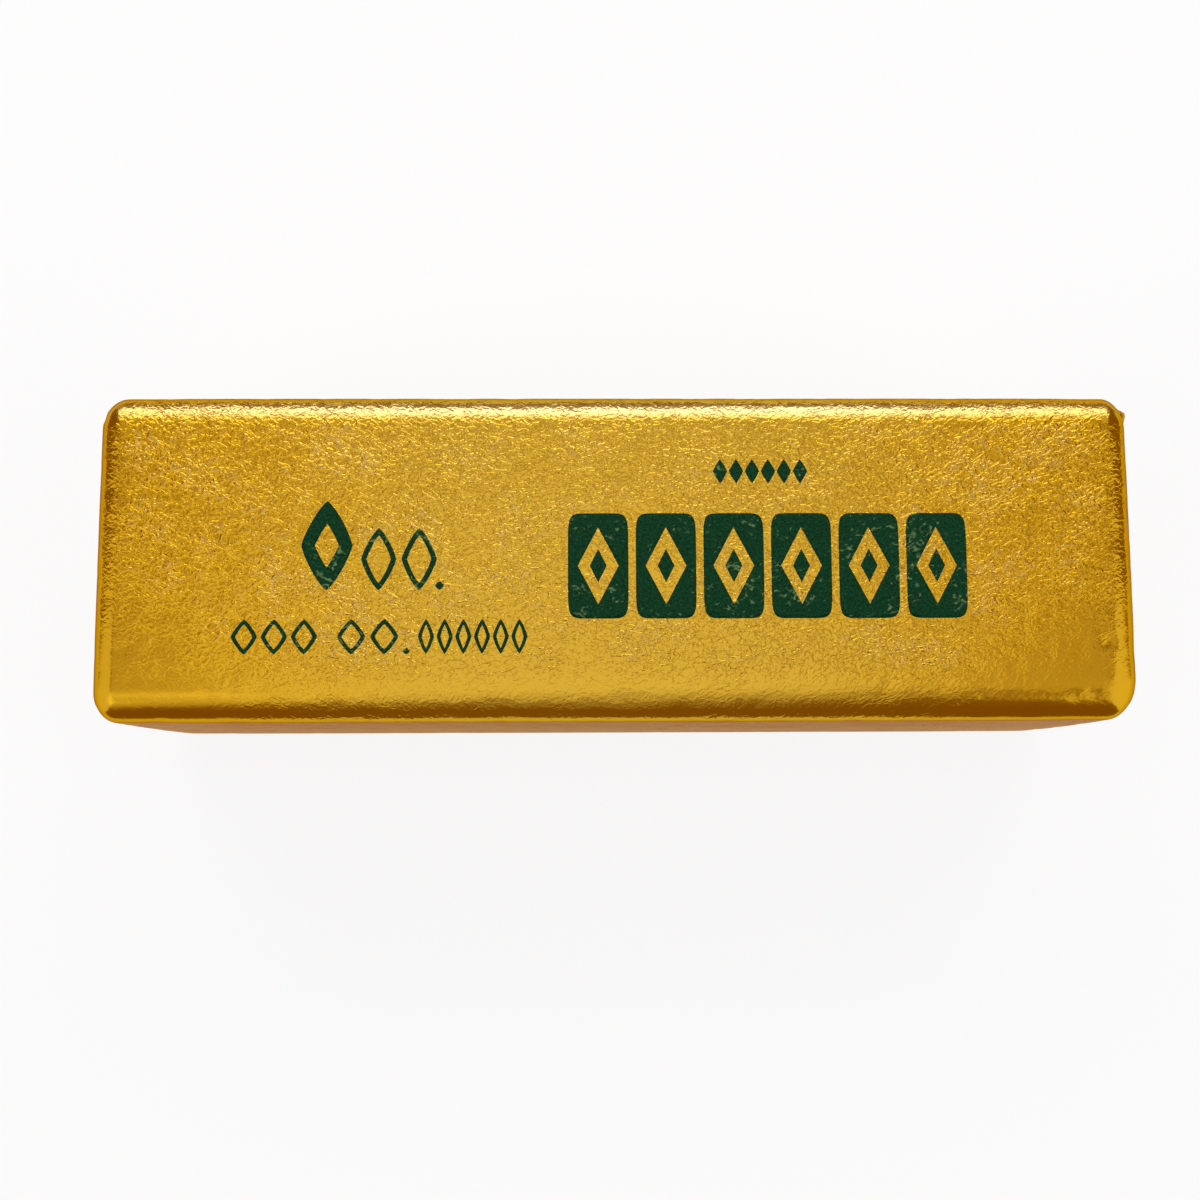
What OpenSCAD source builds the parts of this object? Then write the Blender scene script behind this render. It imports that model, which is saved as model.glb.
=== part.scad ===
// A quarter-pound stick of butter, shut in a sheet of gold foil.
//
// The pack lies on its long back with the label face up. X runs along the
// block, Y across it and Z up; the origin is at the middle of the base.
// The foil hides the butter everywhere, so pack and butter are one solid:
// a box with soft edges and slightly swollen faces, whose ends carry the
// four flaps of the closing fold.
// Left, right, near (-Y) and far (+Y) are as seen with the label upright.

/* [Block] */
// Length over both folded ends
block_length = 106; // [90:0.5:130]
// Width of the label face
block_width = 33.8; // [28:0.2:42]
// Height from the base to the crown of the label face
block_height = 33.8; // [28:0.2:42]

/* [Soft edges] */
// How far the edge rounding reaches in from the ends
round_along = 2.4; // [2:0.1:5]
// How far the edge rounding reaches in from the long sides
round_across = 3.3; // [2:0.1:5]
// How far the edge rounding reaches in from the top and the base
round_down = 1.9; // [1:0.1:4]
// How many times rounder the near right corner is pressed than the others
pressed_corner = 1.3; // [1:0.05:1.6]

/* [Swollen faces] */
// Crown of the label face
top_crown = 0.3; // [0:0.05:0.8]
// Crown of each long side
side_crown = 0.35; // [0:0.05:0.8]
// Crown of each end, under its flaps
end_crown = 0.3; // [0:0.05:0.8]

/* [End folds] */
// Thickness of one flap: doubled foil and the air under it
flap_lift = 0.3; // [0.1:0.05:0.5]
// How far the lower flap laps over the tip of the upper one
flap_lap = 2.8; // [0:0.1:5]

/* [Fineness] */
// Cells from the start of a rounding to the middle of its edge
round_cells = 3; // [2:1:4]
// Cells along the block between its roundings
long_cells = 14; // [8:2:18]
// Cells across each end between its roundings
end_cells = 12; // [8:2:16]

/* [Hidden] */
foil_colour = [0.80, 0.60, 0.19];

// The box that the faces swell out of: half sizes about its own middle.
core = [
    block_length / 2 - end_crown - flap_lift,
    block_width / 2 - side_crown,
    (block_height - top_crown) / 2
];
reach = [round_along, round_across, round_down];
cells = [long_cells, end_cells, end_cells] + 2 * round_cells * [1, 1, 1];
diagonal = 45; // a rounding is shared by two faces, half a right angle each

function clamp(value, low, high) = min(max(value, low), high);

// 0 up to edge a, 1 from edge b on, and smooth in between.
function ease(value, a, b) = let (t = clamp((value - a) / (b - a), 0, 1)) t * t * (3 - 2 * t);

// Place of grid line i on an axis: even steps of arc in the roundings, even steps between them.
function line_place(axis, i) =
    let (
        n = cells[axis],
        half = core[axis],
        r = reach[axis],
        from_end = min(i, n - i),
        flat = half - r,
        side = i < n / 2 ? -1 : 1
    )
    from_end < round_cells
        ? side * (flat + r * tan(diagonal * (round_cells - from_end) / round_cells))
        : flat * (2 * (i - round_cells) / (n - 2 * round_cells) - 1);

// Rounding at a point: the near right corner is pressed rounder.
function reach_at(p) =
    let (press = 1 + (pressed_corner - 1) * ease(p.x, 0, core.x) * ease(-p.y, 0, core.y))
    [reach.x * press, reach.y * press, reach.z];

// Pulls a point of the box's surface in to its soft edges and corners.
function soften(p) =
    let (
        r = reach_at(p),
        inner = [for (axis = [0:2]) clamp(p[axis], r[axis] - core[axis], core[axis] - r[axis])],
        out = [for (axis = [0:2]) (p[axis] - inner[axis]) / r[axis]],
        size = norm(out)
    )
    [for (axis = [0:2]) inner[axis] + r[axis] * out[axis] / size];

// 1 at the middle of a face and 0 at its border, flatter for a higher power.
function swell(share, power) = 1 - pow(min(abs(share), 1), power);

// Height of the flaps over an end, from the grid shares across it and up it:
// the upper and the lower flap are triangles whose tips meet at the middle,
// and the tucked sides lie under them. Where the tips lap, the butter gives
// way and the end stays as high as one flap.
function flap_height(across, up) =
    let (
        half = min(core.y, core.z),
        step = 2 / end_cells,
        merge = 1 - ease(abs(up), 0.72, 0.98),
        upper = ease(up - abs(across), 0, step),
        lower = ease(-up - abs(across) + flap_lap / half, 0, step)
    )
    flap_lift * merge * min(upper + lower, 1);

// The swelling of every face, along that face's own axis. The base stays flat.
function swollen(p, share) =
    let (
        end_way = abs(share.x) >= 1 ? sign(share.x) : 0,
        side_way = abs(share.y) >= 1 ? sign(share.y) : 0,
        top_way = share.z >= 1 ? 1 : 0,
        end_rise = end_crown * swell(share.y, 2) * swell(share.z, 2) + flap_height(share.y, share.z),
        side_rise = side_crown * swell(share.x, 8) * swell(share.z, 2),
        top_rise = top_crown * swell(share.x, 8) * swell(share.y, 2)
    )
    p + [end_way * end_rise, side_way * side_rise, top_way * top_rise + core.z];

// A point of the pack, from the numbers of its three grid lines.
function pack_point(i, j, k) =
    let (
        p = [line_place(0, i), line_place(1, j), line_place(2, k)],
        share = [2 * i / cells.x - 1, 2 * j / cells.y - 1, 2 * k / cells.z - 1]
    )
    swollen(soften(p), share);

// One face of the grid. a and b are its axes and c the fixed one, at its line `at`.
function face_points(a, b, c, at) = [
    for (i = [0:cells[a]], j = [0:cells[b]])
        let (index = [for (axis = [0:2]) axis == a ? i : axis == b ? j : at])
        pack_point(index[0], index[1], index[2])
];

// Two triangles for each cell, split towards the middle of the face, so that
// the flaps' slanting edges run along the splits. `flip` turns them over.
function face_triangles(a, b, start, flip) = [
    for (i = [0:cells[a] - 1], j = [0:cells[b] - 1])
        let (
            wide = cells[b] + 1,
            p = start + i * wide + j,
            q = p + wide,
            rising = (i < cells[a] / 2) == (j < cells[b] / 2),
            pair = rising
                ? [[p, q + 1, q], [p, p + 1, q + 1]]
                : [[p, p + 1, q], [q, p + 1, q + 1]]
        )
        for (t = pair) flip ? [t[2], t[1], t[0]] : t
];

// The six faces: their two axes, the fixed axis, its line, and whether to flip.
faces_of_box = [
    [1, 2, 0, 0, false], [1, 2, 0, cells.x, true],
    [2, 0, 1, 0, false], [2, 0, 1, cells.y, true],
    [0, 1, 2, 0, false], [0, 1, 2, cells.z, true]
];

function points_before(n) = n == 0
    ? 0
    : points_before(n - 1)
        + (cells[faces_of_box[n - 1][0]] + 1) * (cells[faces_of_box[n - 1][1]] + 1);

module wrapped_block() {
    color(foil_colour)
        polyhedron(
            points = [for (f = faces_of_box) each face_points(f[0], f[1], f[2], f[3])],
            faces = [
                for (n = [0:len(faces_of_box) - 1])
                    let (f = faces_of_box[n])
                    each face_triangles(f[0], f[1], points_before(n), f[4])
            ],
            convexity = 4
        );
}

wrapped_block();
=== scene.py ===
import math

import bpy
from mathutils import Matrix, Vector


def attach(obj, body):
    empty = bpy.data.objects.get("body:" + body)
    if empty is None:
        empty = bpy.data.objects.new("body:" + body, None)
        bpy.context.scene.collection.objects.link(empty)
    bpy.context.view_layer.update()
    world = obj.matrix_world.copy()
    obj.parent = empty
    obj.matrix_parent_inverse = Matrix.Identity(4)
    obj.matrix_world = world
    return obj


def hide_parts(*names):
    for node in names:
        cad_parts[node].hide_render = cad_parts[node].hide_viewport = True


# A quarter-pound stick of butter, shut in gold foil, on a pale studio table.
# It lies on its long back with the label face up: X runs along it, Y across it
# to the top of the label and Z up, and the origin is at the middle of its base.
# Left, right, near (-Y) and far (+Y) are as seen with the label upright.

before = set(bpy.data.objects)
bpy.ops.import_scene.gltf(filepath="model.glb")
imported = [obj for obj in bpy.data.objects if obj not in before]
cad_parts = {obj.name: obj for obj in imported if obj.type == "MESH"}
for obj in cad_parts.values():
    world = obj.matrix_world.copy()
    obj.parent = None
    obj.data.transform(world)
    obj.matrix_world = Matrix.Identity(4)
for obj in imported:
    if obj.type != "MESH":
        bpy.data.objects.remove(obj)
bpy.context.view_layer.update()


# --- The foil wrapper ---
# One sheet of thin aluminium foil, lacquered gold, wrapped round the butter and
# pressed to it by hand. It is folded like a parcel at both ends, and its long
# edges lap on the underside, where the block's weight shuts them.

mm = 0.001  # every length below is given in millimetres and used in metres


def linear(hex_colour):
    """The linear RGBA colour of an sRGB hex value."""
    parts = [int(hex_colour[i:i + 2], 16) / 255 for i in (1, 3, 5)]
    return (*[p / 12.92 if p < 0.04045 else ((p + 0.055) / 1.055) ** 2.4 for p in parts], 1)


def add(tree, kind, values=None, **settings):
    """Adds a node with its settings and its input values or links, and returns its outputs."""
    made = tree.nodes.new(kind)
    for name, value in settings.items():
        setattr(made, name, value)
    for key, value in (values or {}).items():
        if isinstance(value, bpy.types.NodeSocket):
            tree.links.new(value, made.inputs[key])
        else:
            made.inputs[key].default_value = value
    return made.outputs


def growth_tree(name, inputs):
    """A Geometry Nodes tree with these named inputs, and the outputs of its input node."""
    tree = bpy.data.node_groups.new(name, "GeometryNodeTree")
    tree.interface.new_socket("Geometry", in_out="OUTPUT", socket_type="NodeSocketGeometry")
    for label, kind in inputs.items():
        tree.interface.new_socket(label, in_out="INPUT", socket_type="NodeSocket" + kind)
    return tree, add(tree, "NodeGroupInput")


def grown(name, tree, values):
    """The plain mesh object that a tree makes from these input values."""
    piece = bpy.data.objects.new(name, bpy.data.meshes.new(name))
    bpy.context.collection.objects.link(piece)
    growth = piece.modifiers.new(name, "NODES")
    growth.node_group = tree
    for item in tree.interface.items_tree:
        if item.in_out == "INPUT":
            growth[item.identifier] = values[item.name]
    result = piece.evaluated_get(bpy.context.evaluated_depsgraph_get())
    mesh = bpy.data.meshes.new_from_object(result)
    piece.modifiers.clear()
    piece.data = mesh
    return piece


def crinkle_height(tree):
    """Height of the foil's fine crinkles, in millimetres, from a material's Object coordinates."""
    wander_size, wander_reach = 1.1, 0.9
    stroke_scale = 0.8  # noise cells in one length or width of a stroke
    crease_reach = 0.13  # how far from its middle value the noise still makes a crease
    least_strokes = 0.25  # share of a stroke's height that is left outside its part of the face
    grain_size, grain_high = 0.32, 0.06
    patch_size, patch_least, patch_most = 5.0, 0.8, 1.25

    place = add(tree, "ShaderNodeTexCoord")["Object"]
    place = add(tree, "ShaderNodeVectorMath", {0: place, "Scale": 1 / mm}, operation="SCALE")[0]
    x, y, z = add(tree, "ShaderNodeSeparateXYZ", {0: place})[:3]
    # Strokes are bent by a slow wander, so that none of them runs straight.
    wander = add(tree, "ShaderNodeTexNoise",
                 {"Vector": place, "Scale": 1 / wander_size, "Detail": 1.0})["Color"]
    bent = add(tree, "ShaderNodeVectorMath", {0: wander, 1: (wander_reach,) * 3, 2: place},
               operation="MULTIPLY_ADD")[0]
    height = None
    # Lean of the strokes in degrees, their length, width and height, and where along the
    # block they begin to show and show in full.
    for lean, length, width, high, start, end in (
            (-38, 2.4, 0.46, 0.030, 10, -25),
            (32, 1.9, 0.46, 0.028, 5, 30),
            (4, 1.1, 0.50, 0.024, None, None)):
        turned = add(tree, "ShaderNodeVectorRotate",
                     {"Vector": bent, "Angle": math.radians(-lean)}, rotation_type="Z_AXIS")[0]
        scaled = add(tree, "ShaderNodeVectorMath",
                     {0: turned, 1: (1 / length, 1 / width, 1 / width)}, operation="MULTIPLY")[0]
        stroke = add(tree, "ShaderNodeTexNoise",
                     {"Vector": scaled, "Scale": stroke_scale, "Detail": 1.0,
                      "Roughness": 0.4})["Fac"]
        # A crease stands up where the noise passes its middle value.
        part = add(tree, "ShaderNodeMath", {0: stroke, 1: 0.5}, operation="SUBTRACT")[0]
        part = add(tree, "ShaderNodeMath", {0: part}, operation="ABSOLUTE")[0]
        part = add(tree, "ShaderNodeMapRange", {0: part, 1: crease_reach, 2: 0, 3: 0, 4: high},
                   interpolation_type="SMOOTHSTEP")[0]
        if start is not None:
            share = add(tree, "ShaderNodeMapRange",
                        {0: x, 1: start, 2: end, 3: least_strokes, 4: 1.0})[0]
            part = add(tree, "ShaderNodeMath", {0: part, 1: share}, operation="MULTIPLY")[0]
        height = part if height is None else add(
            tree, "ShaderNodeMath", {0: height, 1: part}, operation="ADD")[0]
    grain = add(tree, "ShaderNodeTexNoise",
                {"Vector": place, "Scale": 1 / grain_size, "Detail": 1.0})["Fac"]
    height = add(tree, "ShaderNodeMath", {0: grain, 1: grain_high, 2: height},
                 operation="MULTIPLY_ADD")[0]
    # Some parts were rubbed harder than others, in patches a few millimetres wide.
    patch = add(tree, "ShaderNodeTexNoise",
                {"Vector": place, "Scale": 1 / patch_size, "Detail": 1.0})["Fac"]
    patch = add(tree, "ShaderNodeMapRange",
                {0: patch, 1: 0.36, 2: 0.64, 3: patch_least, 4: patch_most})[0]
    height = add(tree, "ShaderNodeMath", {0: height, 1: patch}, operation="MULTIPLY")[0]

    # The foil is smoother where it was drawn over the edges of the label face, and
    # smoothest at the near corners. Each row below is a place along an axis, where
    # the calm starts, where it is full, and the share of the height that is left.
    away_from_middle = add(tree, "ShaderNodeMath", {0: x}, operation="ABSOLUTE")[0]
    calmed = [
        add(tree, "ShaderNodeMapRange", {0: along_axis, 1: start, 2: full, 3: 1.0, 4: left},
            interpolation_type="SMOOTHSTEP")[0]
        for along_axis, start, full, left in (
            (away_from_middle, 48.5, 51.5, 0.4), (y, -10.0, -14.2, 0.3), (y, 13.0, 15.0, 0.5))]
    top, corner_y, corner_reach, corner_left = 33.8, -16, (17, 13, 20), 0.25
    for corner_x in (-52, 50):
        away = add(tree, "ShaderNodeVectorMath", {0: place, 1: (corner_x, corner_y, top)},
                   operation="SUBTRACT")[0]
        away = add(tree, "ShaderNodeVectorMath", {0: away, 1: [1 / r for r in corner_reach]},
                   operation="MULTIPLY")[0]
        away = add(tree, "ShaderNodeVectorMath", {0: away}, operation="LENGTH")["Value"]
        calmed.append(add(tree, "ShaderNodeMapRange",
                          {0: away, 1: 0.55, 2: 1.2, 3: corner_left, 4: 1.0},
                          interpolation_type="SMOOTHSTEP")[0])
    calm = calmed[0]
    for more in calmed[1:]:
        calm = add(tree, "ShaderNodeMath", {0: calm, 1: more}, operation="MULTIPLY")[0]
    # Lower down, the sides and the ends are crinkled again.
    crinkled_below, calm_above = 24.0, 31.0
    high_up = add(tree, "ShaderNodeMapRange", {0: z, 1: crinkled_below, 2: calm_above})[0]
    calm = add(tree, "ShaderNodeMix", {0: high_up, 2: 1.0, 3: calm})[0]
    return add(tree, "ShaderNodeMath", {0: height, 1: calm}, operation="MULTIPLY")[0]


# Aluminium foil, rolled bright and lacquered gold: a warm metal with a satin gloss
# under a trace of clear coat, whose fine creases break each reflection into sparks.
foil = bpy.data.materials.new("lacquered_aluminium_foil")
foil.use_nodes = True
foil_tree = foil.node_tree
foil_shader = foil_tree.nodes["Principled BSDF"]
foil_shader.inputs["Metallic"].default_value = 1.0
foil_shader.inputs["Roughness"].default_value = 0.18
foil_shader.inputs["Coat Weight"].default_value = 0.06
foil_shader.inputs["Coat Roughness"].default_value = 0.12
foil_shader.inputs["Coat IOR"].default_value = 1.5
foil_shader.inputs["Specular Tint"].default_value = linear("#C08C10")
foil_height = crinkle_height(foil_tree)
foil_bump = add(foil_tree, "ShaderNodeBump", {"Height": foil_height, "Distance": mm})[0]
foil_tree.links.new(foil_bump, foil_shader.inputs["Normal"])
foil_tree.links.new(foil_bump, foil_shader.inputs["Coat Normal"])
# The gold is painted paler towards the middle: a painted highlight for the overhead softboxes'
# reflection there.
foil_place = add(foil_tree, "ShaderNodeTexCoord")["Object"]
foil_x, foil_y, foil_z = add(foil_tree, "ShaderNodeSeparateXYZ", {0: foil_place})[:3]
from_middle = add(foil_tree, "ShaderNodeMath", {0: foil_x}, operation="ABSOLUTE")[0]
middle_painted_highlight = add(foil_tree, "ShaderNodeMapRange", {0: from_middle, 1: 46 * mm, 2: 12 * mm},
           interpolation_type="SMOOTHSTEP")[0]
gold = add(foil_tree, "ShaderNodeMix", {0: middle_painted_highlight, 6: linear("#E6BB26"), 7: linear("#E4C140")},
           data_type="RGBA")[2]
# It is painted paler on the crests of the crinkles and along the far edge, fading towards the
# ends: a painted highlight for the glints and the bright far-edge reflection.
crest_low, crest_high, crest_highlight_share = 0.06, 0.10, 0.30
crest_painted_highlight = add(foil_tree, "ShaderNodeMapRange",
             {0: foil_height, 1: crest_low, 2: crest_high, 3: 0, 4: crest_highlight_share})[0]
outer = add(foil_tree, "ShaderNodeMapRange", {0: foil_y, 1: 13.8 * mm, 2: 15.1 * mm},
            interpolation_type="SMOOTHSTEP")[0]
upper = add(foil_tree, "ShaderNodeMapRange", {0: foil_z, 1: 32.4 * mm, 2: 33.1 * mm},
            interpolation_type="SMOOTHSTEP")[0]
towards_end = add(foil_tree, "ShaderNodeMapRange",
                  {0: from_middle, 1: 20 * mm, 2: 52 * mm, 3: 1, 4: 0.5})[0]
far_edge_painted_highlight = add(foil_tree, "ShaderNodeMath", {0: outer, 1: upper}, operation="MULTIPLY")[0]
far_edge_painted_highlight = add(foil_tree, "ShaderNodeMath", {0: far_edge_painted_highlight, 1: towards_end}, operation="MULTIPLY")[0]
pale_painted_highlight = add(foil_tree, "ShaderNodeMath", {0: far_edge_painted_highlight, 1: crest_painted_highlight}, operation="MAXIMUM")[0]
foil_colour = add(foil_tree, "ShaderNodeMix", {0: pale_painted_highlight, 6: gold, 7: linear("#EDD998")},
                  data_type="RGBA")[2]
foil_tree.links.new(foil_colour, foil_shader.inputs["Base Color"])

wrap, given = growth_tree("foil wrapper", {
    "Size": "Vector", "Rounding": "Vector", "Pressed Corner": "Float", "Crown": "Vector",
    "Flap Lift": "Float", "Flap Lap": "Float", "Fold Width": "Float",
    "Cells": "Vector", "Rounding Cells": "Float",
    "Dent Length": "Float", "Dent Depth": "Float",
    "Seam Place": "Float", "Seam Width": "Float", "Seam Depth": "Float", "Foil": "Material"})

# The grid of a cube that reaches from -1 to 1 on each axis.
grid_points = [add(wrap, "ShaderNodeMath", {0: cells, 1: 1.0}, operation="ADD")[0]
               for cells in add(wrap, "ShaderNodeSeparateXYZ", {0: given["Cells"]})[:3]]
grid = add(wrap, "GeometryNodeMeshCube", {
    "Size": (2, 2, 2), "Vertices X": grid_points[0], "Vertices Y": grid_points[1],
    "Vertices Z": grid_points[2]})["Mesh"]

# Half sizes of the box that the faces swell out of. The base stays flat, so only
# half of the top's crown comes off the half height.
half_size = add(wrap, "ShaderNodeVectorMath", {0: given["Size"], "Scale": 0.5},
                operation="SCALE")[0]
swelling = add(wrap, "ShaderNodeVectorMath", {0: given["Crown"], 1: (1, 1, 0.5)},
               operation="MULTIPLY")[0]
core = add(wrap, "ShaderNodeVectorMath", {0: half_size, 1: swelling}, operation="SUBTRACT")[0]
flap_room = add(wrap, "ShaderNodeCombineXYZ", {0: given["Flap Lift"]})[0]
core = add(wrap, "ShaderNodeVectorMath", {0: core, 1: flap_room}, operation="SUBTRACT")[0]

# Even cells between the roundings, and even steps of arc within them. Two faces
# share a rounding, so each has an eighth of a turn of it.
eighth_turn = math.pi / 4
share = add(wrap, "GeometryNodeInputPosition")[0]
share_size = add(wrap, "ShaderNodeVectorMath", {0: share}, operation="ABSOLUTE")[0]
side = add(wrap, "ShaderNodeVectorMath", {0: share}, operation="SIGN")[0]
half_cells = add(wrap, "ShaderNodeVectorMath", {0: given["Cells"], "Scale": 0.5},
                 operation="SCALE")[0]
cell = add(wrap, "ShaderNodeVectorMath", {0: share_size, 1: half_cells}, operation="MULTIPLY")[0]
flat_cells = add(wrap, "ShaderNodeVectorMath", {0: half_cells, 1: given["Rounding Cells"]},
                 operation="SUBTRACT")[0]
flat = add(wrap, "ShaderNodeVectorMath", {0: core, 1: given["Rounding"]}, operation="SUBTRACT")[0]
along = add(wrap, "ShaderNodeVectorMath", {0: cell, 1: flat_cells}, operation="MINIMUM")[0]
along = add(wrap, "ShaderNodeVectorMath", {0: along, 1: flat_cells}, operation="DIVIDE")[0]
along = add(wrap, "ShaderNodeVectorMath", {0: along, 1: flat}, operation="MULTIPLY")[0]
over = add(wrap, "ShaderNodeVectorMath", {0: cell, 1: flat_cells}, operation="SUBTRACT")[0]
over = add(wrap, "ShaderNodeVectorMath", {0: over, 1: (0, 0, 0)}, operation="MAXIMUM")[0]
over = add(wrap, "ShaderNodeVectorMath", {0: over, 1: given["Rounding Cells"]},
           operation="DIVIDE")[0]
over = add(wrap, "ShaderNodeVectorMath", {0: over, "Scale": eighth_turn}, operation="SCALE")[0]
over = add(wrap, "ShaderNodeVectorMath", {0: over}, operation="TANGENT")[0]
place = add(wrap, "ShaderNodeVectorMath", {0: over, 1: given["Rounding"], 2: along},
            operation="MULTIPLY_ADD")[0]
place = add(wrap, "ShaderNodeVectorMath", {0: place, 1: side}, operation="MULTIPLY")[0]

# The near right corner is pressed rounder than the others.
part = add(wrap, "ShaderNodeVectorMath", {0: place, 1: core}, operation="DIVIDE")[0]
part_x, part_y = add(wrap, "ShaderNodeSeparateXYZ", {0: part})[:2]
rightness = add(wrap, "ShaderNodeMapRange", {0: part_x, 1: 0, 2: 1},
                interpolation_type="SMOOTHSTEP")[0]
nearness = add(wrap, "ShaderNodeMapRange", {0: part_y, 1: 0, 2: -1},
               interpolation_type="SMOOTHSTEP")[0]
pressing = add(wrap, "ShaderNodeMath", {0: rightness, 1: nearness}, operation="MULTIPLY")[0]
extra = add(wrap, "ShaderNodeMath", {0: given["Pressed Corner"], 1: 1.0},
            operation="SUBTRACT")[0]
pressing = add(wrap, "ShaderNodeMath", {0: pressing, 1: extra, 2: 1.0},
               operation="MULTIPLY_ADD")[0]
pressing = add(wrap, "ShaderNodeCombineXYZ", {0: pressing, 1: pressing, 2: 1.0})[0]
reach = add(wrap, "ShaderNodeVectorMath", {0: given["Rounding"], 1: pressing},
            operation="MULTIPLY")[0]

# Every point is pulled in to the soft edges and corners.
inset = add(wrap, "ShaderNodeVectorMath", {0: core, 1: reach}, operation="SUBTRACT")[0]
outset = add(wrap, "ShaderNodeVectorMath", {0: reach, 1: core}, operation="SUBTRACT")[0]
inner = add(wrap, "ShaderNodeVectorMath", {0: place, 1: inset}, operation="MINIMUM")[0]
inner = add(wrap, "ShaderNodeVectorMath", {0: inner, 1: outset}, operation="MAXIMUM")[0]
out = add(wrap, "ShaderNodeVectorMath", {0: place, 1: inner}, operation="SUBTRACT")[0]
out = add(wrap, "ShaderNodeVectorMath", {0: out, 1: reach}, operation="DIVIDE")[0]
out = add(wrap, "ShaderNodeVectorMath", {0: out}, operation="NORMALIZE")[0]
soft = add(wrap, "ShaderNodeVectorMath", {0: out, 1: reach, 2: inner},
           operation="MULTIPLY_ADD")[0]

# The faces swell, all but the base. `on_face` is 1 on the outer face that a point
# is on, with its sign, and 0 on the others; the slack is for the grid's rounding error.
grid_slack = 0.0005
on_face = add(wrap, "ShaderNodeVectorMath", {0: share_size, 1: (grid_slack,) * 3},
              operation="ADD")[0]
on_face = add(wrap, "ShaderNodeVectorMath", {0: on_face}, operation="FLOOR")[0]
on_face = add(wrap, "ShaderNodeVectorMath", {0: on_face, 1: side}, operation="MULTIPLY")[0]
upward = add(wrap, "ShaderNodeVectorMath", {0: on_face, 1: (-1, -1, 0)}, operation="MAXIMUM")[0]
# A crown falls off with the square across the block, and far later along it.
late = 4.0
soft_part = add(wrap, "ShaderNodeVectorMath", {0: soft, 1: core}, operation="DIVIDE")[0]
square = add(wrap, "ShaderNodeVectorMath", {0: soft_part, 1: soft_part},
             operation="MULTIPLY")[0]
square_x = add(wrap, "ShaderNodeSeparateXYZ", {0: square})[0]
fall_x = add(wrap, "ShaderNodeMath", {0: square_x, 1: late}, operation="POWER")[0]
fall_x = add(wrap, "ShaderNodeMath", {0: 1.0, 1: fall_x}, operation="SUBTRACT")[0]
fall = add(wrap, "ShaderNodeVectorMath", {0: (1, 1, 1), 1: square}, operation="SUBTRACT")[0]
fall_y, fall_z = add(wrap, "ShaderNodeSeparateXYZ", {0: fall})[1:3]
rise = add(wrap, "ShaderNodeCombineXYZ", {
    0: add(wrap, "ShaderNodeMath", {0: fall_y, 1: fall_z}, operation="MULTIPLY")[0],
    1: add(wrap, "ShaderNodeMath", {0: fall_x, 1: fall_z}, operation="MULTIPLY")[0],
    2: add(wrap, "ShaderNodeMath", {0: fall_x, 1: fall_y}, operation="MULTIPLY")[0]})[0]
rise = add(wrap, "ShaderNodeVectorMath", {0: rise, 1: given["Crown"]}, operation="MULTIPLY")[0]

# The closing folds: an upper and a lower triangle of doubled foil on each end.
# The lower one was folded last, so its tip lies over the tip of the upper one.
upper_thickness, lower_thickness = 0.7, 1.0  # shares of the flap's lift
gone_at, whole_at = 0.97, 0.78  # the flaps merge into the block's edges, in shares of its height
soft_y, soft_z = add(wrap, "ShaderNodeSeparateXYZ", {0: soft})[1:3]
off_centre = add(wrap, "ShaderNodeMath", {0: soft_y}, operation="ABSOLUTE")[0]
into_upper = add(wrap, "ShaderNodeMath", {0: soft_z, 1: off_centre}, operation="SUBTRACT")[0]
into_lower = add(wrap, "ShaderNodeMath", {0: given["Flap Lap"], 1: soft_z},
                 operation="SUBTRACT")[0]
into_lower = add(wrap, "ShaderNodeMath", {0: into_lower, 1: off_centre},
                 operation="SUBTRACT")[0]
upper_flap, lower_flap = [
    add(wrap, "ShaderNodeMapRange", {0: inside, 1: 0, 2: given["Fold Width"], 3: 0, 4: thickness},
        interpolation_type="SMOOTHSTEP")[0]
    for inside, thickness in ((into_upper, upper_thickness), (into_lower, lower_thickness))]
flap = add(wrap, "ShaderNodeMath", {0: upper_flap, 1: lower_flap}, operation="MAXIMUM")[0]
part_up = add(wrap, "ShaderNodeSeparateXYZ", {0: soft_part})[2]
part_up = add(wrap, "ShaderNodeMath", {0: part_up}, operation="ABSOLUTE")[0]
merge = add(wrap, "ShaderNodeMapRange", {0: part_up, 1: gone_at, 2: whole_at, 3: 0, 4: 1},
            interpolation_type="SMOOTHSTEP")[0]
flap = add(wrap, "ShaderNodeMath", {0: flap, 1: merge}, operation="MULTIPLY")[0]
flap = add(wrap, "ShaderNodeMath", {0: flap, 1: given["Flap Lift"]}, operation="MULTIPLY")[0]
flap = add(wrap, "ShaderNodeCombineXYZ", {0: flap})[0]
rise = add(wrap, "ShaderNodeVectorMath", {0: rise, 1: flap}, operation="ADD")[0]
lifted = add(wrap, "ShaderNodeVectorMath", {0: rise, 1: upward, 2: soft},
             operation="MULTIPLY_ADD")[0]
core_z = add(wrap, "ShaderNodeSeparateXYZ", {0: core})[2]
raised = add(wrap, "ShaderNodeCombineXYZ", {2: core_z})[0]
lifted = add(wrap, "ShaderNodeVectorMath", {0: lifted, 1: raised}, operation="ADD")[0]
shaped = add(wrap, "GeometryNodeSetPosition", {"Geometry": grid, "Position": lifted})[0]

# Shallow dents between raised creases, pressed inwards only, where the noise is low.
dent_starts, dent_full = 0.5, 0.25
surface_place = add(wrap, "GeometryNodeInputPosition")[0]
dent_scale = add(wrap, "ShaderNodeMath", {0: 1.0, 1: given["Dent Length"]},
                 operation="DIVIDE")[0]
dents = add(wrap, "ShaderNodeTexNoise", {"Vector": surface_place, "Scale": dent_scale,
                                         "Detail": 1.0, "Roughness": 0.45})[0]
dents = add(wrap, "ShaderNodeMapRange", {0: dents, 1: dent_starts, 2: dent_full, 3: 0, 4: 1})[0]
deep = add(wrap, "ShaderNodeMath", {0: dents, 1: given["Dent Depth"]}, operation="MULTIPLY")[0]

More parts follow.
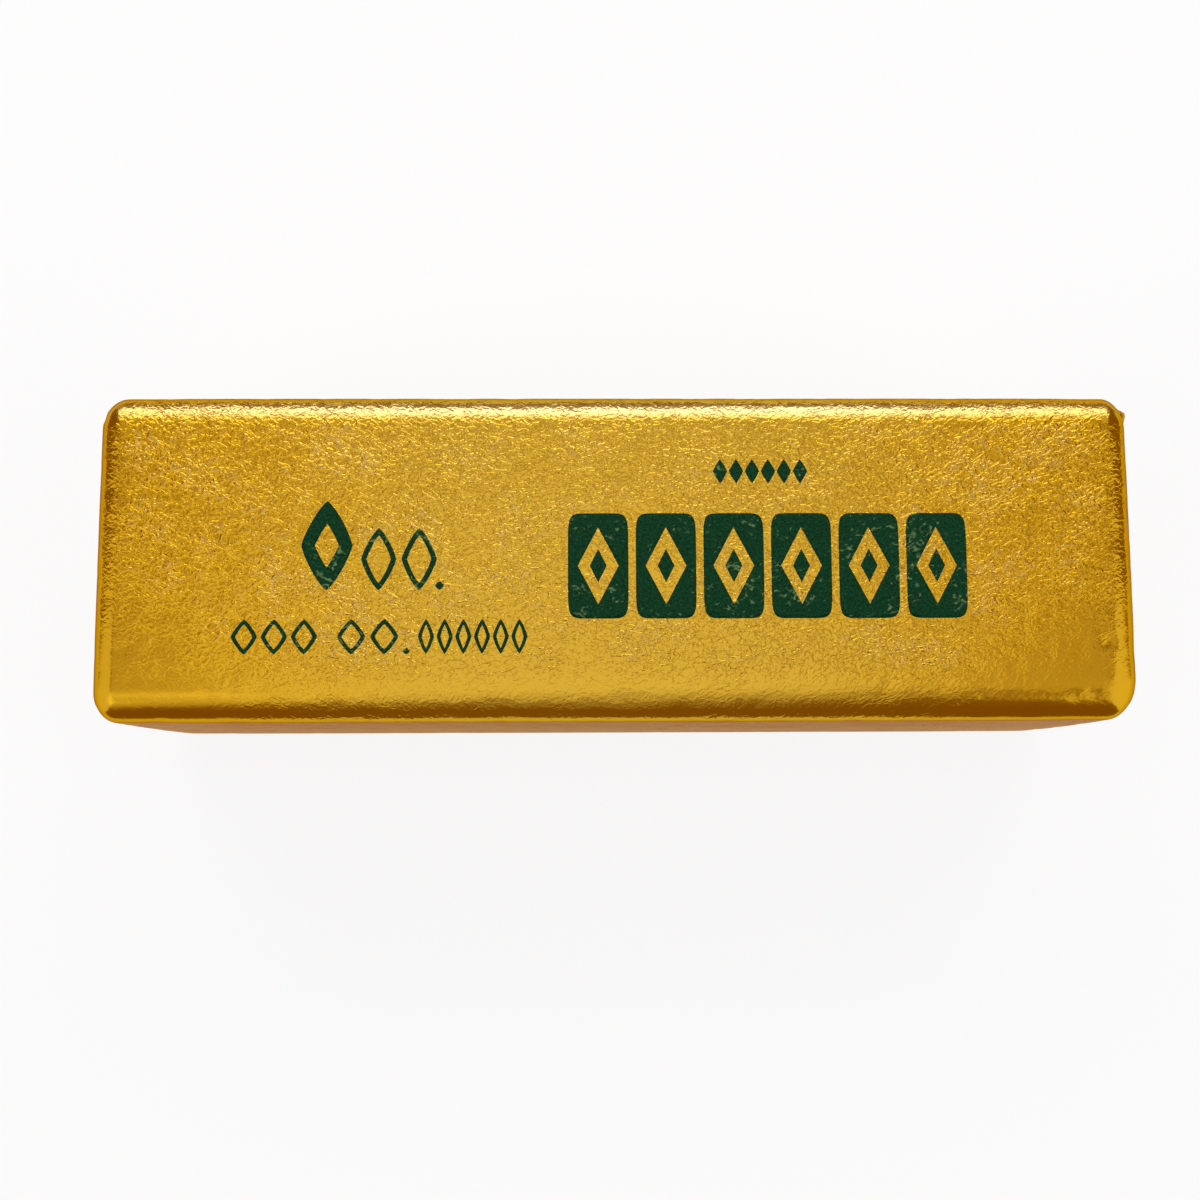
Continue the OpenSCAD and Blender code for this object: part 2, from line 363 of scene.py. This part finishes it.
# The lap seam on the underside: the upper edge of the sheet steps over the lower one.
seam_fade = 8 * mm  # the step eases away within this distance past the seam
seam_gone, seam_whole = 0.5 * mm, 0.1 * mm  # heights that keep it to the underside
shaped_y, shaped_z = add(wrap, "ShaderNodeSeparateXYZ", {0: surface_place})[1:3]
past_seam = add(wrap, "ShaderNodeMath", {0: shaped_y, 1: given["Seam Place"]},
                operation="SUBTRACT")[0]
stepped = add(wrap, "ShaderNodeMapRange", {0: past_seam, 1: 0, 2: given["Seam Width"]})[0]
eased = add(wrap, "ShaderNodeMapRange", {0: past_seam, 1: seam_fade, 2: given["Seam Width"]},
            interpolation_type="SMOOTHSTEP")[0]
under = add(wrap, "ShaderNodeMapRange", {0: shaped_z, 1: seam_gone, 2: seam_whole})[0]
seam = add(wrap, "ShaderNodeMath", {0: stepped, 1: eased}, operation="MULTIPLY")[0]
seam = add(wrap, "ShaderNodeMath", {0: seam, 1: under}, operation="MULTIPLY")[0]
deep = add(wrap, "ShaderNodeMath", {0: seam, 1: given["Seam Depth"], 2: deep},
           operation="MULTIPLY_ADD")[0]

# Marks of handling: an ear of foil at the far right corner, a nick at the far left one
# and a dimple by the right end. Each is a round swelling or hollow about a point, given
# by its middle, its radius and its depth.
for middle, radius, depth in (
        ((52.3, 14.8, 31.9), 0.9, -0.45),
        ((-52.4, 14.5, 32.0), 0.7, 0.22),
        ((49.5, -8.8, 33.7), 1.1, 0.16)):
    away = add(wrap, "ShaderNodeVectorMath", {0: surface_place, 1: [m * mm for m in middle]},
               operation="DISTANCE")["Value"]
    near = add(wrap, "ShaderNodeMapRange", {0: away, 1: radius * mm, 2: 0, 3: 0, 4: depth * mm},
               interpolation_type="SMOOTHSTEP")[0]
    deep = add(wrap, "ShaderNodeMath", {0: deep, 1: near}, operation="ADD")[0]
outwards = add(wrap, "ShaderNodeMath", {0: deep, 1: -1.0}, operation="MULTIPLY")[0]
shift = add(wrap, "ShaderNodeVectorMath",
            {0: add(wrap, "GeometryNodeInputNormal")[0], "Scale": outwards},
            operation="SCALE")[0]
dented = add(wrap, "GeometryNodeSetPosition", {"Geometry": shaped, "Offset": shift})[0]
smooth = add(wrap, "GeometryNodeSetShadeSmooth", {0: dented})[0]
real = add(wrap, "GeometryNodeRealizeInstances", {0: smooth})[0]
dressed = add(wrap, "GeometryNodeSetMaterial", {"Geometry": real, "Material": given["Foil"]})[0]
add(wrap, "NodeGroupOutput", {0: dressed})

# The wrapper is as large as the block, less the thickness of the ink on its crown.
wrapper = grown("foil_wrapper", wrap, {
    "Size": (106 * mm, 33.8 * mm, 33.77 * mm), "Rounding": (2.4 * mm, 3.3 * mm, 1.9 * mm),
    "Pressed Corner": 1.3, "Crown": (0.3 * mm, 0.35 * mm, 0.3 * mm),
    "Flap Lift": 0.3 * mm, "Flap Lap": 2.8 * mm, "Fold Width": 0.4 * mm,
    "Cells": (258.0, 82.0, 82.0), "Rounding Cells": 8.0,
    "Dent Length": 2.6 * mm, "Dent Depth": 0.05 * mm,
    "Seam Place": -5 * mm, "Seam Width": 0.4 * mm, "Seam Depth": 0.08 * mm, "Foil": foil})
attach(wrapper, "root")
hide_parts("wrapped_block")


# --- The print ---
# Dark green ink, rolled onto the lacquered foil before it was cut and wrapped:
# a frieze of six tiles with diamond windows, rows of small diamonds, and three
# larger marks for the weight. It lies in the crinkles, with paler green painted on their crests as
# glints.

# Oil ink, rolled on thin and dried half matt: a deep green that mirrors little, so
# its IOR is lower than an oil film's, and that is painted paler on the crests as glints.
ink = bpy.data.materials.new("printed_green_ink")
ink.use_nodes = True
ink_tree = ink.node_tree
ink_shader = ink_tree.nodes["Principled BSDF"]
ink_shader.inputs["Roughness"].default_value = 0.42
ink_shader.inputs["IOR"].default_value = 1.2
ink_height = crinkle_height(ink_tree)
ink_bump = add(ink_tree, "ShaderNodeBump", {"Height": ink_height, "Distance": mm})[0]
ink_tree.links.new(ink_bump, ink_shader.inputs["Normal"])
# A paler green is painted on the crests, in patches under a millimetre wide: painted glints where
# the crests catch the light.
glint_patch_size, spot_size = 0.7 * mm, 0.25 * mm
glint_low, glint_high = 0.068, 0.088  # heights of the crests that get painted glints, in millimetres
ink_place = add(ink_tree, "ShaderNodeTexCoord")["Object"]
glint_patches = add(ink_tree, "ShaderNodeTexNoise", {"Vector": ink_place, "Scale": 1 / glint_patch_size})["Fac"]
crest = add(ink_tree, "ShaderNodeMapRange", {0: ink_height, 1: glint_low, 2: glint_high})[0]
crest_glints = add(ink_tree, "ShaderNodeMapRange", {0: glint_patches, 1: 0.46, 2: 0.58})[0]
crest_glints = add(ink_tree, "ShaderNodeMath", {0: crest_glints, 1: crest}, operation="MULTIPLY")[0]
# The ink is uneven: thinner and lighter in fine spots.
spots = add(ink_tree, "ShaderNodeTexNoise", {"Vector": ink_place, "Scale": 1 / spot_size})["Fac"]
spots = add(ink_tree, "ShaderNodeMapRange", {0: spots, 1: 0.3, 2: 0.7})[0]
ink_body = add(ink_tree, "ShaderNodeMix", {0: spots, 6: linear("#01301C"), 7: linear("#0A5638")},
               data_type="RGBA")[2]
ink_colour = add(ink_tree, "ShaderNodeMix", {0: crest_glints, 6: ink_body, 7: linear("#6F9A6C")},
                 data_type="RGBA")[2]
ink_tree.links.new(ink_colour, ink_shader.inputs["Base Color"])

# One mark is the band between an inner and an outer outline. Each outline is given as half
# width, half height and squareness: 1 makes a diamond and 8 a tile with rounded corners.
row, given = growth_tree("row of printed marks", {
    "Count": "Int", "Pitch": "Float", "First": "Vector", "Outer": "Vector", "Inner": "Vector",
    "Steps Around": "Int", "Rings": "Int", "Ink Thickness": "Float", "Wrapper": "Object",
    "Ink": "Material"})
strip = add(row, "GeometryNodeMeshGrid", {
    "Size X": 1.0, "Size Y": 1.0, "Vertices X": given["Steps Around"],
    "Vertices Y": given["Rings"]})["Mesh"]
strip_place = add(row, "GeometryNodeInputPosition")[0]
turn, towards_outer = add(row, "ShaderNodeSeparateXYZ", {0: strip_place})[:2]
turn = add(row, "ShaderNodeMath", {0: turn, 1: -2 * math.pi}, operation="MULTIPLY")[0]
towards_outer = add(row, "ShaderNodeMath", {0: towards_outer, 1: 0.5}, operation="ADD")[0]
direction = add(row, "ShaderNodeCombineXYZ", {
    0: add(row, "ShaderNodeMath", {0: turn}, operation="COSINE")[0],
    1: add(row, "ShaderNodeMath", {0: turn}, operation="SINE")[0]})[0]
radii = []
for outline in (given["Inner"], given["Outer"]):
    half_width, half_height, squareness = add(row, "ShaderNodeSeparateXYZ", {0: outline})[:3]
    halves = add(row, "ShaderNodeCombineXYZ", {0: half_width, 1: half_height, 2: 1.0})[0]
    ratio = add(row, "ShaderNodeVectorMath", {0: direction, 1: halves}, operation="DIVIDE")[0]
    ratio = add(row, "ShaderNodeVectorMath", {0: ratio}, operation="ABSOLUTE")[0]
    ratio_x, ratio_y = add(row, "ShaderNodeSeparateXYZ", {0: ratio})[:2]
    total = add(row, "ShaderNodeMath", {
        0: add(row, "ShaderNodeMath", {0: ratio_x, 1: squareness}, operation="POWER")[0],
        1: add(row, "ShaderNodeMath", {0: ratio_y, 1: squareness}, operation="POWER")[0]},
        operation="ADD")[0]
    inverse = add(row, "ShaderNodeMath", {0: -1.0, 1: squareness}, operation="DIVIDE")[0]
    radii.append(add(row, "ShaderNodeMath", {0: total, 1: inverse}, operation="POWER")[0])
radius = add(row, "ShaderNodeMix", {0: towards_outer, 2: radii[0], 3: radii[1]})[0]
spot = add(row, "ShaderNodeVectorMath", {0: direction, "Scale": radius}, operation="SCALE")[0]
mark = add(row, "GeometryNodeSetPosition", {"Geometry": strip, "Position": spot})[0]
mark = add(row, "GeometryNodeMergeByDistance", {"Geometry": mark, "Distance": 0.002 * mm})[0]
step_right = add(row, "ShaderNodeCombineXYZ", {0: given["Pitch"]})[0]
places = add(row, "GeometryNodeMeshLine", {
    "Count": given["Count"], "Start Location": given["First"], "Offset": step_right})[0]
marks = add(row, "GeometryNodeInstanceOnPoints", {"Points": places, "Instance": mark})[0]
marks = add(row, "GeometryNodeRealizeInstances", {0: marks})[0]

# The marks are let down onto the foil, given the thickness of the ink, and closed beneath.
surface = add(row, "GeometryNodeObjectInfo", {"Object": given["Wrapper"]})["Geometry"]
down = add(row, "GeometryNodeRaycast", {
    "Target Geometry": surface, "Source Position": add(row, "GeometryNodeInputPosition")[0],
    "Ray Direction": (0, 0, -1), "Ray Length": 5 * mm})
inked = add(row, "GeometryNodeSetPosition", {
    "Geometry": marks, "Position": down["Hit Position"]})[0]
thickness = add(row, "ShaderNodeCombineXYZ", {2: given["Ink Thickness"]})[0]
solid = add(row, "GeometryNodeExtrudeMesh", {
    "Mesh": inked, "Offset": thickness, "Offset Scale": 1.0, "Individual": False})
underside = add(row, "GeometryNodeFlipFaces", {0: inked})[0]
printed = add(row, "GeometryNodeSetShadeSmooth", {0: solid["Mesh"], 1: solid["Top"]})[0]
joined = add(row, "GeometryNodeJoinGeometry", {0: printed})[0]
row.links.new(underside, joined.node.inputs[0])
closed = add(row, "GeometryNodeMergeByDistance", {
    "Geometry": joined, "Distance": 0.0005 * mm})[0]
dyed = add(row, "GeometryNodeSetMaterial", {"Geometry": closed, "Material": given["Ink"]})[0]
add(row, "NodeGroupOutput", {0: dyed})

above_face = 35.0  # the marks are let down from this height
filled = (0.001, 0.001, 1)  # an inner outline too small to leave a window
# Name, marks in the row, pitch, place of the first, outer and inner outline, steps around, rings.
for name, count, pitch, x, y, outer, inner, around, rings in (
        ("frieze_tiles", 6, 6.81, -1.87, -1.07, (3.03, 5.33, 8), (2.05, 3.9, 1), 97, 8),
        ("frieze_centres", 6, 6.81, -1.87, -1.07, (0.85, 1.7, 1), filled, 49, 6),
        ("upper_diamonds", 6, 1.62, 10.49, 8.58, (0.72, 1.25, 1.1), filled, 41, 4),
        ("weight_tall_mark", 1, 0, -29.05, 1.02, (2.55, 4.52, 1.25), (1.2, 2.2, 1.1), 81, 6),
        ("weight_low_marks", 2, 4.05, -23.85, -0.36, (1.75, 3.14, 1.25), (1.2, 2.4, 1.2), 65, 4),
        ("weight_point", 1, 0, -17.75, -3.05, (0.42, 0.42, 1.4), filled, 33, 3),
        ("lower_first_marks", 3, 2.98, -37.15, -8.15,
         (1.3, 1.75, 1.2), (0.85, 1.25, 1.15), 49, 3),
        ("lower_second_marks", 2, 3.3, -26.5, -8.15,
         (1.4, 1.75, 1.2), (0.95, 1.25, 1.15), 49, 3),
        ("lower_point", 1, 0, -21.0, -9.6, (0.32, 0.32, 1.4), filled, 33, 3),
        ("lower_last_marks", 6, 1.86, -19.05, -8.15,
         (0.8, 1.75, 1.2), (0.42, 1.2, 1.15), 49, 3)):
    piece = grown(name, row, {
        "Count": count, "Pitch": pitch * mm, "First": (x * mm, y * mm, above_face * mm),
        "Outer": (outer[0] * mm, outer[1] * mm, outer[2]),
        "Inner": (inner[0] * mm, inner[1] * mm, inner[2]),
        "Steps Around": around, "Rings": rings,
        "Ink Thickness": 0.03 * mm, "Wrapper": wrapper, "Ink": ink})
    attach(piece, "root")


# --- The table ---
# A flat sheet of white opal acrylic, cast and rubbed matt, that the block lies on.
# It is lit a little from below, so that it stays pale.

# Matt acrylic scatters the light evenly and shows no reflection. The foil sees it
# dimmer and warmer than it looks.
opal = bpy.data.materials.new("opal_acrylic")
opal.use_nodes = True
opal_shader = opal.node_tree.nodes["Principled BSDF"]
opal_shader.inputs["Base Color"].default_value = linear("#8A8A88")
opal_shader.inputs["Roughness"].default_value = 0.8
opal_shader.inputs["Emission Strength"].default_value = 1.0
glow_on_foil, glow_to_view = (0.58, 0.50, 0.34, 1), (0.795, 0.82, 0.853, 1)
looked_at = add(opal.node_tree, "ShaderNodeLightPath")["Is Camera Ray"]
opal_glow = add(opal.node_tree, "ShaderNodeMix", {0: looked_at, 6: glow_on_foil, 7: glow_to_view},
                data_type="RGBA")[2]
opal.node_tree.links.new(opal_glow, opal_shader.inputs["Emission Color"])
table_mesh = bpy.data.meshes.new("table")
table_reach = 3.0  # metres from the block to each edge
table_mesh.from_pydata([(x * table_reach, y * table_reach, 0)
                        for x, y in ((-1, -1), (1, -1), (1, 1), (-1, 1))], [], [(0, 1, 2, 3)])
table_mesh.materials.append(opal)
table = bpy.data.objects.new("table", table_mesh)
bpy.context.collection.objects.link(table)


# --- The studio lights ---
# Softboxes in a dome round the block: a soft pair overhead, the brightest one at
# the back for the far edge, one at each side, and weak ones towards the front.

lights_away = 0.8  # metres from the block
# Name, degrees round from the back, degrees above the table, width, height, brightness.
for name, round_from_back, above, width, height, glow in (
        ("overhead_large", 0, 90, 0.84, 0.48, 0.33),
        ("overhead_middle", 0, 86, 0.42, 0.34, 0.37),
        ("overhead_front", 182, 72, 0.50, 0.28, 0.26),
        ("front_foot", 202, 60, 0.62, 0.34, 0.15),
        ("front_left", 228, 58, 0.44, 0.44, 0.20),
        ("back_high", 0, 60, 1.10, 0.28, 0.40),
        ("back_middle", 0, 39, 1.10, 0.30, 1.80),
        ("back_low", 0, 20, 1.20, 0.20, 0.15),
        ("left_side", -107, 31, 0.66, 0.92, 0.60),
        ("right_side", 109, 31, 0.66, 0.92, 0.66)):
    turn, tilt = math.radians(round_from_back), math.radians(above)
    at = lights_away * Vector((math.sin(turn) * math.cos(tilt), math.cos(turn) * math.cos(tilt),
                               math.sin(tilt)))
    light = bpy.data.lights.new(name, "AREA")
    light.shape, light.size, light.size_y = "RECTANGLE", width, height
    light.energy = glow * math.pi * width * height
    lamp = bpy.data.objects.new(name, light)
    lamp.location = at
    lamp.rotation_mode = "QUATERNION"
    lamp.rotation_quaternion = (-at).to_track_quat("-Z", "Y")
    lamp.visible_camera = False
    bpy.context.collection.objects.link(lamp)

# Between the softboxes the foil reflects a dim brown room; the view shows a white backdrop.
world = bpy.data.worlds.new("studio")
bpy.context.scene.world = world
world.use_nodes = True
room = world.node_tree.nodes["Background"]
room.inputs["Color"].default_value = linear("#8F640C")
room.inputs["Strength"].default_value = 0.85
backdrop = add(world.node_tree, "ShaderNodeBackground",
               {"Color": linear("#FFFFFF"), "Strength": 0.965})[0]
seen = add(world.node_tree, "ShaderNodeLightPath")["Is Camera Ray"]
shown = add(world.node_tree, "ShaderNodeMixShader", {0: seen, 1: room.outputs[0], 2: backdrop})[0]
world.node_tree.links.new(shown, world.node_tree.nodes["World Output"].inputs["Surface"])
bpy.context.scene.view_settings.view_transform = "Standard"


# --- The camera ---
# It looks almost straight down on the label face from about 150 mm above it, and
# from a little in front of the block, so that the near side just shows.

view = bpy.data.cameras.new("view")
view.sensor_width, view.lens = 36.0, 45.62
view.clip_start = 0.01
camera = bpy.data.objects.new("view", view)
camera.location = (-3.75 * mm, -23.10 * mm, 184.67 * mm)
camera.rotation_euler = [math.radians(a) for a in (7.015, -0.751, -0.213)]
bpy.context.collection.objects.link(camera)
bpy.context.scene.camera = camera
